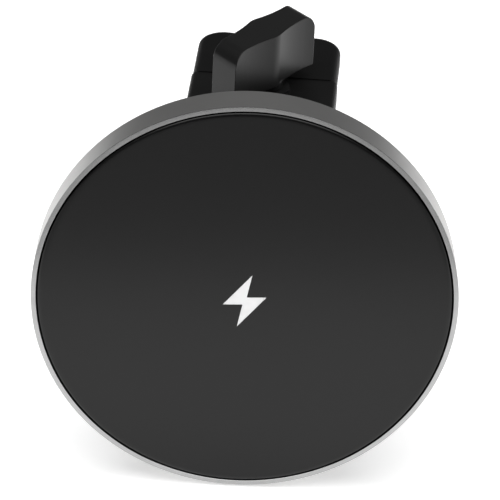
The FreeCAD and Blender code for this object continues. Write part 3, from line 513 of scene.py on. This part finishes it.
# %% [markdown]
# The ball and its stud are one moulding: a ball with a small flat in front, a neck, and a flange with a
# locating peg for the clip. It is one turned section again, and its screw hole is part of the section.

# %% Turn the ball stud
neck_turn = math.degrees(math.asin(3.0 / 8.5))
stud_section = (
    [(0, -9), (1.5, -9), (1.5, -16.2), (2.4, -16.2), (2.4, -14), (5.85, -14), (6, -13.85), (6, -13.15),
     (5.85, -13), (4.6, -12.75)] + arc(5.0, -10.9, 2.0, 248, 180, 6)
    + arc(0, 0, 8.5, -90 + neck_turn, 66.6, 40) + [(3.3, 7.8), (0, 7.8)])
stud = turn("ball_and_stud", stud_section, steps=160, closed=False)
shade(stud, 30)
wear(stud, ball_black, "clip", "ball_plastic", "ball_stud")
carry(stud, stud_place)

# %% [markdown]
# The clip's back is a moulded block with rounded front corners, and the fixed jaw grows out of its upper
# back edge. That is what extruding is for: the block is sliced level with the jaw, the strip of back face
# above the slice is drawn out, and a smaller core goes on inside the rubber sleeve.

# %% Jaw core, shared by both jaws
JAW_HALF, JAW_INSIDE, JAW_MIDDLE, JAW_OUTSIDE, JAW_REACH, SEAM = 10.9, 3.12, 5.1, 7.08, 9.8, -7.85
BLOCK_FRONT, BLOCK_BACK, BLOCK_END, CAP_END, CORNER_ROUND, STUD_HEIGHT = -23.65, -17.65, -16.5, -17.7, 3, -5.8


def jaw_core(piece, middle_height):
    """Carries on from the end face of a jaw as the core that fills the sleeve's pocket."""
    pick(piece, "FACE", lambda f: f.normal.y > 0.9 and abs(spot(f).y - SEAM) < CLOSE)
    bpy.ops.mesh.inset(thickness=0.6 * MM)
    stretch(x=0.97)
    extrude_to(y=11.2)
    extrude_to(y=3.2)
    stretch(x=0.7, about=(0, 0, middle_height))


def round_outline(piece, height):
    """Rounds the outer edges of a jaw's wide face, but not the edge that meets the sleeve."""
    pick(piece, "EDGE", lambda e: abs(spot(e).z - height) < CLOSE and spot(e).y < SEAM - 0.05
         and len(e.link_faces) == 2 and e.calc_face_angle() > 1.2)
    bpy.ops.mesh.bevel(offset=MM, offset_type="OFFSET", segments=6, affect="EDGES")


def round_edges(piece):
    """Softens the other sharp edges, again but for those round the face that the sleeve butts against."""
    pick(piece, "EDGE", lambda e: len(e.link_faces) == 2 and e.calc_face_angle() > 0.6
         and abs(spot(e).y - SEAM) > 0.05)
    bpy.ops.mesh.bevel(offset=0.3 * MM, offset_type="OFFSET", segments=4, affect="EDGES")
    let_go()

# %% Shape the clip body
clip = block("clip_block", (-JAW_HALF, BLOCK_FRONT, BLOCK_END), (JAW_HALF, BLOCK_BACK, JAW_OUTSIDE))
hold(clip)
bpy.ops.object.mode_set(mode="EDIT")
pick(clip, "EDGE", lambda e: abs(spot(e).y - BLOCK_FRONT) < CLOSE
     and abs(spot(e).z - (JAW_OUTSIDE + BLOCK_END) / 2) < CLOSE)
bpy.ops.mesh.bevel(offset=CORNER_ROUND * MM, offset_type="OFFSET", segments=10, affect="EDGES")
slice_at("Z", [JAW_INSIDE])
pick(clip, "FACE", lambda f: f.normal.y > 0.9 and spot(f).z > JAW_INSIDE)
extrude_to(y=JAW_REACH)
jaw_core(clip, JAW_MIDDLE)
round_outline(clip, JAW_OUTSIDE)
tidy_mesh()
round_edges(clip)

# %% [markdown]
# The rest is machining on the softened block: a low boss for the screw's bush, two slots at the back in
# which the lower jaw's rails run, and the stepped hole for the stud. Boolean modifiers do it, each with a
# tool that is exactly as large as the cut.

# %% Machine the clip body
screw_y = screw_axis.y / MM
boss = peg(4.2, 5.0, 7.5, 0, screw_y, steps=96)
soften(boss, 0.15)
carve(clip, boss, how="UNION")
carve(clip, peg(3.2, 2, 11, 0, screw_y, steps=96))
for left in (-9.25, 5.75):
    carve(clip, block("slot_tool", (left, -20.5, -17.5), (left + 3.5, -16.65, 1.5)))
for radius, front, far in ((2.4, -25, -21.45), (1.6, -25, -16), (3.2, -19.85, -16)):
    carve(clip, peg(radius, front, far, 0, STUD_HEIGHT, along="Y"))
shade(clip)
wear(clip, black_moulded, "clip", "black_plastic", "clip_body")

# %% Close the block's lower end
end = block("end_cap", (-JAW_HALF, BLOCK_FRONT, CAP_END), (JAW_HALF, BLOCK_BACK, BLOCK_END))
hold(end)
bpy.ops.object.mode_set(mode="EDIT")
pick(end, "EDGE", lambda e: abs(spot(e).y - BLOCK_FRONT) < CLOSE
     and abs(spot(e).z - (CAP_END + BLOCK_END) / 2) < CLOSE)
bpy.ops.mesh.bevel(offset=CORNER_ROUND * MM, offset_type="OFFSET", segments=10, affect="EDGES")
pick(end, "EDGE", lambda e: abs(spot(e).z - CAP_END) < CLOSE)
bpy.ops.mesh.bevel(offset=0.4 * MM, offset_type="OFFSET", segments=4, affect="EDGES")
let_go()
carve(end, *[peg(0.9, -19, -15, x, -21.25, steps=40) for x in (-3.6, 3.6)])
shade(end)
wear(end, black_moulded, "clip", "black_plastic", "end_plate")

# %% [markdown]
# Each jaw wears a soft sleeve, a thick-walled silicone boot with generous rounds, so that it doesn't
# scratch the vent. It starts as a block with two big corner rounds; its far edge swells gently in the
# middle. Then all long edges are rounded, the open end is inset and pushed in to make the pocket, and
# shallow grooves across the gripping face finish it. The lower sleeve is the same moulding turned over.

# %% Mould the upper sleeve
def ease(t):
    """A smooth step from 0 to 1."""
    t = min(1.0, max(0.0, t))
    return t * t * (3 - 2 * t)


def far_edge_swell(x):
    """How far the sleeve's far edge stands out at x: a dip near the corners, a crown in the middle."""
    x = abs(x)
    return -0.25 * ease((6.75 - x) / 2.2) if x > 4.55 else -0.25 + 0.45 * ease((4.55 - x) / 4.55)


SLEEVE_HALF, SLEEVE_TIP = 10.75, 7.70
sleeve = block("upper_sleeve", (-SLEEVE_HALF, SEAM, 3.0), (SLEEVE_HALF, SLEEVE_TIP, 7.2))
hold(sleeve)
bpy.ops.object.mode_set(mode="EDIT")
pick(sleeve, "EDGE", lambda e: abs(spot(e).y - SLEEVE_TIP) < CLOSE and abs(spot(e).z - JAW_MIDDLE) < CLOSE)
bpy.ops.mesh.bevel(offset=4 * MM, offset_type="OFFSET", segments=14, affect="EDGES")
crown_cuts = [-6.2 + 12.4 * i / 16 for i in range(17)]
slice_at("X", crown_cuts)
for x in crown_cuts:
    pick(sleeve, "VERT", lambda v, x=x: abs(v.co.x / MM - x) < CLOSE and v.co.y / MM > 7.6)
    slide(y=far_edge_swell(x))
pick(sleeve, "EDGE", lambda e: len(e.link_faces) == 2 and e.calc_face_angle() > 1.2
     and min(v.co.y for v in e.verts) / MM > -7.9 and max(v.co.y for v in e.verts) / MM > -7.8
     and abs(e.verts[0].co.z - e.verts[1].co.z) < 1e-6)
bpy.ops.mesh.bevel(offset=1.3 * MM, offset_type="OFFSET", segments=7, affect="EDGES")
pick(sleeve, "FACE", lambda f: f.normal.y < -0.9 and spot(f).y < -7.8)
bpy.ops.mesh.inset(thickness=0.7 * MM)
extrude_to(y=11.5)
extrude_to(y=3.2)
stretch(x=0.7, about=(0, 0, JAW_MIDDLE))
tidy_mesh()
let_go()
for i in range(5):
    middle = -5.4 + 2.5 * i
    carve(sleeve, block("groove_tool", (-8.4, middle - 0.45, 2.5), (8.4, middle + 0.45, 3.3)))
shade(sleeve)
wear(sleeve, rubber, "clip", "black_rubber", "upper_grip_sleeve")

# %% Turn a second sleeve over for the lower jaw
lower_sleeve = sleeve.copy()
lower_sleeve.data = sleeve.data.copy()
lower_sleeve.name = "lower_sleeve"
lower_sleeve.parent = None
bpy.context.scene.collection.objects.link(lower_sleeve)
carry(lower_sleeve, Matrix.Rotation(math.pi, 4, "Y"))
wear(lower_sleeve, rubber, "lower_jaw", "black_rubber", "lower_grip_sleeve")

# %% [markdown]
# The lower jaw is a plate that slides up and down the block's back. Two rails keep it square, and a round
# boss under it holds the brass nut that the screw turns in.

# %% Shape the lower jaw
lower = block("lower_jaw_plate", (-JAW_HALF, -17.4, -JAW_OUTSIDE), (JAW_HALF, SEAM, -JAW_INSIDE))
hold(lower)
bpy.ops.object.mode_set(mode="EDIT")
jaw_core(lower, -JAW_MIDDLE)
round_outline(lower, -JAW_OUTSIDE)
tidy_mesh()
round_edges(lower)
nut_boss = peg(4.1, -13.0, -6.0, 0, screw_y, steps=96)
soften(nut_boss, 0.3)
carve(lower, nut_boss, how="UNION")
for left in (-9.0, 6.0):
    rail = block("rail", (left, -20.25, -10.6), (left + 3.0, -15.4, -3.5))
    soften(rail, 0.2)
    carve(lower, rail, how="UNION")
carve(lower, peg(3.0, -9.8, 0, 0, screw_y, steps=80), peg(2.4, -14, -9, 0, screw_y))
shade(lower)
wear(lower, black_moulded, "lower_jaw", "black_plastic", "lower_jaw")

# %% [markdown]
# The clamp screw has a quick thread: three ribs run round it side by side, and one turn of the knob moves
# the jaw by 3 mm. Such a thread has the same three-lobed section everywhere, only turned. So a straight
# ribbed bar is made first, and the Simple Deform modifier twists it, as a baker twists dough.

# %% Twist the thread
THREAD_LOW, THREAD_HIGH, LEAD, STARTS = -12.3, 2.45, 3.0, 3
steel = finish("zinc_plated_steel", grey(0.52, (1, 0.99, 0.96)), grey(0.60, (1, 0.99, 0.97)), drift_mm=3,
               grain_mm=0.12, rough=(0.24, 0.36), height_mm=0.0015, Metallic=1.0)
POINTS_TO_A_RIB = 24
let_go()
bpy.ops.mesh.primitive_circle_add(vertices=STARTS * POINTS_TO_A_RIB, radius=2.0 * MM, fill_type="NGON",
                                  location=(0, 0, THREAD_LOW * MM))
bar = bpy.context.object
bpy.ops.object.transform_apply(location=True, rotation=True, scale=True)
bpy.ops.object.mode_set(mode="EDIT")
for step in range(POINTS_TO_A_RIB):
    share = abs(step / POINTS_TO_A_RIB - 0.5) * 2
    radius = 1.62 + 0.36 * min(1.0, max(0.0, (share - 0.25) / 0.5))

    def on_this_line(point, step=step):
        angle = math.degrees(math.atan2(point.co.y, point.co.x)) % (360 / STARTS)
        off = abs(angle - step * 360 / STARTS / POINTS_TO_A_RIB)
        return min(off, abs(off - 360 / STARTS)) < 0.01

    pick(bar, "VERT", on_this_line)
    stretch(radius / 2.0, radius / 2.0, 1.0)
bpy.ops.mesh.select_all(action="SELECT")
THREAD_SLICES = 150
for _ in range(THREAD_SLICES):
    extrude_to(z=(THREAD_HIGH - THREAD_LOW) / THREAD_SLICES)
tidy_mesh()
let_go()
twist = math.tau * (THREAD_HIGH - THREAD_LOW) / LEAD
use(bar, "SIMPLE_DEFORM", deform_method="TWIST", deform_axis="Z", angle=twist)
crests = [v.co / MM for v in bar.data.vertices if v.co.xy.length > 1.97 * MM]
first = min(crests, key=lambda p: p.z)
after = [p for p in crests if 0.18 < p.z - first.z < 0.25]
lobe = 360 / STARTS
from_first = [math.degrees(math.atan2(p.y, p.x) - math.atan2(first.y, first.x)) for p in after]
turns = sorted((angle + lobe / 2) % lobe - lobe / 2 for angle in from_first)
print("thread turns anticlockwise as it rises, degrees:", [round(t, 1) for t in turns[:3]])

# %% Join the thread to its shank
shank = turn("screw_shank", [
    (0, -12.6), (1.2, -12.6), (1.55, -12.25), (1.55, 2.5), (1.5, 2.5), (1.5, 3.1), (1.9, 3.1), (2.0, 3.2),
    (2.0, 9.7), (2.3, 9.7), (2.3, 14.6), (2.2, 14.7), (0, 14.7)], steps=96, closed=False)
carve(shank, bar, how="UNION")
shade(shank, 40)
wear(shank, steel, "knob", "plated_steel", "clamp_screw")
carry(shank, screw_place)

# %% [markdown]
# The knob is a T of two wings that a finger and thumb turn. Seen from above, each flank is a shallow hollow
# and the two hollows meet in a soft ridge at the middle, and the whole plan leans a little, as a skewed box
# does. Seen from the side, the wing tips are rounded. A box cut into many slices can be given all of this:
# each slice is drawn in to the wing's width there, its two sides are slid apart along the wing, and the
# slices near the tips are lowered along an arc.

# %% The knob's curves
WING, LOW, TOP, TIP_ROUND, SKEW = 9.95, 9.1, 17.4, 2.6, 0.3
RIDGE_ROUND, HOLLOW_ROUND, NECK, LEAN = 4.0, 24.0, 2.35, math.radians(13)
ridge_end = RIDGE_ROUND * math.sin(LEAN)
neck_at = ridge_end + HOLLOW_ROUND * math.sin(LEAN)
crest = NECK + (HOLLOW_ROUND + RIDGE_ROUND) * (1 - math.cos(LEAN))


def half_width(x):
    """Half of the knob's thickness at a distance x from its middle."""
    x = abs(x)
    if x <= ridge_end:
        return crest - RIDGE_ROUND + math.sqrt(RIDGE_ROUND**2 - x * x)
    return NECK + HOLLOW_ROUND - math.sqrt(HOLLOW_ROUND**2 - (x - neck_at) ** 2)


def top_drop(x):
    """How far the top has fallen at x, on the round of the wing's tip."""
    past = abs(x) - (WING - TIP_ROUND)
    return TIP_ROUND - math.sqrt(max(0.0, TIP_ROUND**2 - past * past)) if past > 0 else 0.0


tips = [WING - TIP_ROUND + TIP_ROUND * math.sin(math.pi / 2 * i / 10) for i in range(10)]
flanks = [1.4 + (WING - TIP_ROUND - 1.6) * i / 9 for i in range(9)]
ridge = [ridge_end * i / 4 for i in range(5)]
half_cuts = sorted(set(round(x, 4) for x in ridge + flanks + tips))
cuts = sorted(set([-x for x in half_cuts] + half_cuts))
print("slices:", len(cuts), "ridge half width, mm:", round(crest, 3))

# %% Shape the knob
UNCUT = 5.0
knob = block("knob_wings", (-WING, -UNCUT, LOW), (WING, UNCUT, TOP))
hold(knob)
bpy.ops.object.mode_set(mode="EDIT")
slice_at("X", cuts)
for x in cuts + [-WING, WING]:
    for side in (-1, 1):
        width, drop = half_width(x), top_drop(x)

        def uncut(point, x=x, y=side * UNCUT):
            return abs(point.co.x / MM - x) < 0.003 and abs(point.co.y / MM - y) < 0.003

        if drop > 0:
            pick(knob, "VERT", lambda v, mine=uncut: mine(v) and v.co.z / MM > TOP - 0.01)
            slide(z=-drop)
        pick(knob, "VERT", uncut)
        slide(x=SKEW * side * width, y=side * (width - UNCUT))
tidy_mesh()
let_go()
soften(knob, 0.28, segments=4, degrees=40)
hub = peg(3.0, 8.15, 9.6, 0, 0, steps=80)
soften(hub, 0.15)
carve(knob, hub, how="UNION")
carve(knob, peg(2.0, 7, 9.75), peg(2.32, 9.7, 14.72))
shade(knob, 30)
wear(knob, satin_black, "knob", "satin_plastic", "clamp_knob")
KNOB_TURN = math.radians(58)
carry(knob, screw_place @ Matrix.Rotation(KNOB_TURN, 4, "Z"))
cad_half = (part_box("clamp_knob")[1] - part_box("clamp_knob")[0]) / 2 / MM
own_half = max(v.co.x for v in knob.data.vertices) / MM
print("half width across, mm:", round(own_half, 2), "CAD:", round(cad_half.x, 2))

# %% [markdown]
# The remaining CAD nodes keep their meshes: screws, washers, nut and bush, the port and everything inside
# the head. Each still needs its own finish. Most are the drifting-tone recipe with other numbers.

# %% Finishes for the pieces inside and the hardware
dark_steel = finish("black_oxide_steel", grey(0.03), grey(0.05), drift_mm=2, grain_mm=0.1, rough=(0.35, 0.5),
                    height_mm=0.003, Metallic=0.9)
brass = finish("turned_brass", (0.60, 0.43, 0.18), (0.72, 0.54, 0.25), drift_mm=2, grain_mm=0.08,
               rough=(0.22, 0.34), height_mm=0.001, Metallic=1.0)
nickel = finish("nickel_plate", (0.58, 0.56, 0.52), (0.66, 0.64, 0.60), drift_mm=3, grain_mm=0.12,
                rough=(0.18, 0.28), height_mm=0.001, Metallic=1.0)
foam_tape = finish("foam_tape", grey(0.012), grey(0.022), drift_mm=1, grain_mm=0.2, rough=(0.8, 0.95),
                   height_mm=0.02)
carrier_grey = finish("grey_carrier_plastic", grey(0.24), grey(0.30), drift_mm=6, grain_mm=0.2,
                      rough=(0.5, 0.62), height_mm=0.008)
ferrite_grey = finish("sintered_ferrite", grey(0.035), grey(0.06), drift_mm=1.5, grain_mm=0.08,
                      rough=(0.55, 0.75), height_mm=0.006)
resin = finish("black_resin", grey(0.018), grey(0.028), drift_mm=1, grain_mm=0.05, rough=(0.4, 0.55),
               height_mm=0.003)
pad_blue = finish("thermal_pad", (0.36, 0.45, 0.54), (0.44, 0.54, 0.62), drift_mm=2, grain_mm=0.15,
                  rough=(0.6, 0.8), height_mm=0.012)
ceramic = finish("tan_ceramic", (0.44, 0.33, 0.20), (0.55, 0.42, 0.27), drift_mm=0.8, grain_mm=0.06,
                 rough=(0.35, 0.5), height_mm=0.003)
acetal = finish("white_acetal", grey(0.72), grey(0.80), drift_mm=5, grain_mm=0.15, rough=(0.3, 0.42),
                height_mm=0.002, Subsurface_Weight=0.05, Subsurface_Scale=0.001)

# %% [markdown]
# Two pieces are better with a pattern of their own. The coil is wound from one copper wire, so rings of
# wire circle its centre: a Wave texture in rings, with a Mapping node that puts its middle on the coil's
# axis. The circuit board is green with fine tracks, which are the edges of square Voronoi cells.

# %% Wound copper and printed tracks
def centred(tree, point):
    """The piece's coordinates with the head's centre line as Z, so rings circle it."""
    place = node(tree, "ShaderNodeTexCoord").outputs["Object"]
    turn_back = axes_at(point, head_right, head_up, glass_way).inverted()
    made = node(tree, "ShaderNodeMapping", Vector=place)
    made.vector_type = "POINT"
    made.inputs["Location"].default_value = turn_back.to_translation()
    made.inputs["Rotation"].default_value = turn_back.to_euler("XYZ")
    return made.outputs["Vector"]


copper = finish("enamelled_copper", (0.42, 0.13, 0.045), (0.62, 0.23, 0.09), drift_mm=2, grain_mm=0.1,
                rough=(0.25, 0.35), height_mm=0.001, Metallic=1.0)
tree = copper.node_tree
shader = tree.nodes["Principled BSDF"]
wires = node(tree, "ShaderNodeTexWave", Vector=centred(tree, ball_centre), Scale=1000 / 0.95 / 20 * math.tau)
wires.wave_type, wires.rings_direction = "RINGS", "Z"
strands = node(tree, "ShaderNodeBump", Height=wires.outputs["Fac"], Distance=0.12 * MM)
tree.links.new(strands.outputs["Normal"], shader.inputs["Normal"])

board_green = finish("green_solder_mask", (0.012, 0.10, 0.035), (0.018, 0.14, 0.05), drift_mm=3, grain_mm=0.1,
                     rough=(0.22, 0.3), height_mm=0.001, Coat_Weight=0.5)
tree = board_green.node_tree
shader = tree.nodes["Principled BSDF"]
cells = node(tree, "ShaderNodeTexVoronoi", Vector=centred(tree, ball_centre), Scale=1000 / 2.4)
cells.distance, cells.feature = "MANHATTAN", "F1"
tracks = ramp(tree, cells.outputs["Distance"], (0.40, (0.012, 0.11, 0.04)), (0.46, (0.05, 0.26, 0.10)),
              (0.54, (0.012, 0.11, 0.04)))
tree.links.new(tracks, shader.inputs["Base Color"])

# %% Hand out the finishes to the CAD nodes
by_node = {
    "glass_tape": foam_tape, "coil_carrier": carrier_grey, "ring_magnets": nickel, "magnet_shunt": steel,
    "ferrite_sheet": ferrite_grey, "charging_coil": copper, "coil_thermistor": resin,
    "circuit_board": board_green, "thermal_pad": pad_blue, "usb_socket": steel, "usb_tongue": resin,
    "charge_controller": resin,
    "power_inductors": ferrite_grey, "resonance_capacitors": ceramic, "power_switches": resin,
    "cover_screws": dark_steel, "friction_cup": acetal, "seat_ring": acetal, "stud_screw": steel,
    "stud_washer": steel, "end_plate_screws": dark_steel, "screw_bush": dark_steel, "jaw_nut": brass,
    "screw_clip": steel}
for name, material in by_node.items():
    piece = frame["nodes"][name]
    piece.data.materials.clear()
    piece.data.materials.append(material)
left_over = [n for n, o in frame["nodes"].items() if not o.hide_render and n not in by_node]
print("CAD nodes without a finish:", left_over)

# %% [markdown]
# The mount is shown on a plain pale floor. It is made wide so that it fills every view, and gets a faint
# mottle so that it isn't one flat tone.

# %% Lay the floor
floor_finish = finish("pale_floor", grey(0.90), grey(0.93), drift_mm=60, grain_mm=0.8, rough=(0.85, 0.95),
                      height_mm=0.01, Emission_Color=(1, 1, 1, 1), Emission_Strength=0.45)
floor_height = cad_low.z - 0.0003
let_go()
bpy.ops.mesh.primitive_plane_add(size=8, location=(0, 0, floor_height))
floor = bpy.context.object
floor.name = "studio_floor"
floor.data.materials.append(floor_finish)
floor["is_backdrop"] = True

# %% [markdown]
# Dark glossy things are lit by what they reflect. A wide soft panel above lights the floor, which also
# glows a little of itself as a light table does, so shadows almost vanish. The glass mirrors that floor; a
# grey card lying in front, which only reflections can see, darkens the glass towards its top. Two small
# panels draw thin bright lines along the edges, and the air behind stays dim, so that faces which look up
# stay dark.

# %% Hang the lamps
def lamp(name, place, aim, size, power):
    """A square soft panel at a place in metres that looks at a point."""
    light = bpy.data.lights.new(name, "AREA")
    light.shape, light.size = "SQUARE", size
    light.energy = power
    made = bpy.data.objects.new(name, light)
    bpy.context.scene.collection.objects.link(made)
    made.location = place
    made.rotation_euler = (Vector(aim) - Vector(place)).to_track_quat("-Z", "Y").to_euler()


target = (0, -0.03, -0.01)
lamp("top_panel", (0, -0.25, 0.85), target, 1.2, 11)
lamp("right_edge_panel", (0.62, 0.30, 0.36), target, 0.25, 0.35)
lamp("left_edge_panel", (-0.52, -0.10, 0.60), target, 0.25, 0.35)
world = bpy.data.worlds.new("dim_air")
bpy.context.scene.world = world
world.use_nodes = True
world.node_tree.nodes["Background"].inputs["Color"].default_value = (0.13, 0.13, 0.13, 1)
world.node_tree.nodes["Background"].inputs["Strength"].default_value = 1.0
let_go()
bpy.ops.mesh.primitive_plane_add(size=0.8, location=(0, -0.522, floor_height + 0.0001))
flag = bpy.context.object
flag.name = "grey_card"
flag.data.materials.append(finish("grey_card", grey(0.56), grey(0.62), drift_mm=40, grain_mm=1.0))
flag.visible_camera = flag.visible_shadow = flag.visible_diffuse = False
flag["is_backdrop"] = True
bpy.context.scene.view_settings.view_transform = "Standard"

# %% [markdown]
# The camera stands well back with a long lens, a good hand above the disc, and looks down on it a little.
# It aims just above the disc's middle, so that disc and knob sit centred together. Its height and turn are
# given about the glass's own centre and axes.

# %% Stand the camera
HEIGHT, SIDE, DISTANCE, LENS = math.radians(28.14), math.radians(0.779), 0.5888, 302.53
glass_centre = ball_centre + glass_way * 17 * MM
back = (head_right * math.sin(SIDE) * math.cos(HEIGHT) + glass_way * math.cos(SIDE) * math.cos(HEIGHT)
        + head_up * math.sin(HEIGHT))
right = head_right * math.cos(SIDE) - glass_way * math.sin(SIDE)
up = back.cross(right)
eye = glass_centre + back * DISTANCE
aim = glass_centre + right * 0.755 * MM + up * 7.07 * MM
look = (eye - aim).normalized()
level = up.cross(look).normalized()
camera = bpy.data.objects.new("camera", bpy.data.cameras.new("camera"))
bpy.context.scene.collection.objects.link(camera)
camera.data.lens, camera.data.sensor_width = LENS, 36
camera.data.clip_start, camera.data.clip_end = 0.01, 20
camera.matrix_world = axes_at(eye, level, look.cross(level), look)
bpy.context.scene.camera = camera
print("camera height above the disc's middle, mm:", round((eye - glass_centre).z * 1000))

# %% [markdown]
# Last, both boxes are written down side by side: the looks must not have changed the size of the design.

# %% Compare the boxes and finish
seen_low, seen_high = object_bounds()
change = [a - b for a, b in zip((*seen_low, *seen_high), (*cad_low, *cad_high))]
print("box change, mm:", [round(c * 1000, 2) for c in change])
